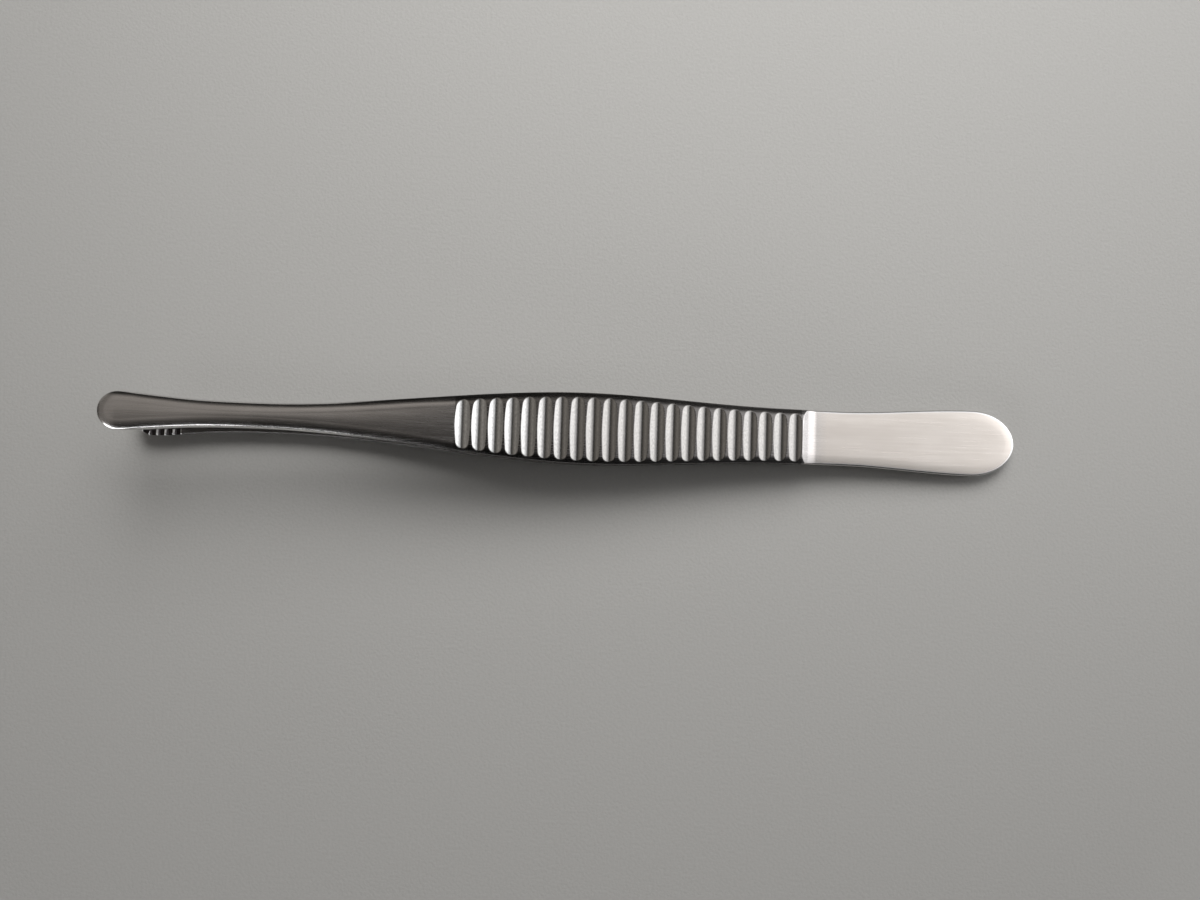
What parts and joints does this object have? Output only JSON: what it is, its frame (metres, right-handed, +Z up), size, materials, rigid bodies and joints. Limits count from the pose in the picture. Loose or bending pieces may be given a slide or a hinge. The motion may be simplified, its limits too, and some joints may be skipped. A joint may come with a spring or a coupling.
{
  "type": "thumb forceps",
  "caption": "Thumb forceps with spring arms joined face to face at a flat round tail, cross-grooved grips, slender necks and round hollow tips with a toothed rim.",
  "frame": {"origin": "on the surface that the forceps lie on, under the middle of their box", "axes": "+X towards the tail, where the arms are welded; -X towards the tips; +Z up, out of the upper arm"},
  "size_m": [0.1502, 0.0116, 0.018],
  "materials": {
    "arm_steel": "satin, brushed along the arms, with polished edges and bright milled grooves"
  },
  "bodies": {
    "root": {"upper_arm": "arm_steel", "lower_arm": "arm_steel"}
  },
  "joints": []
}
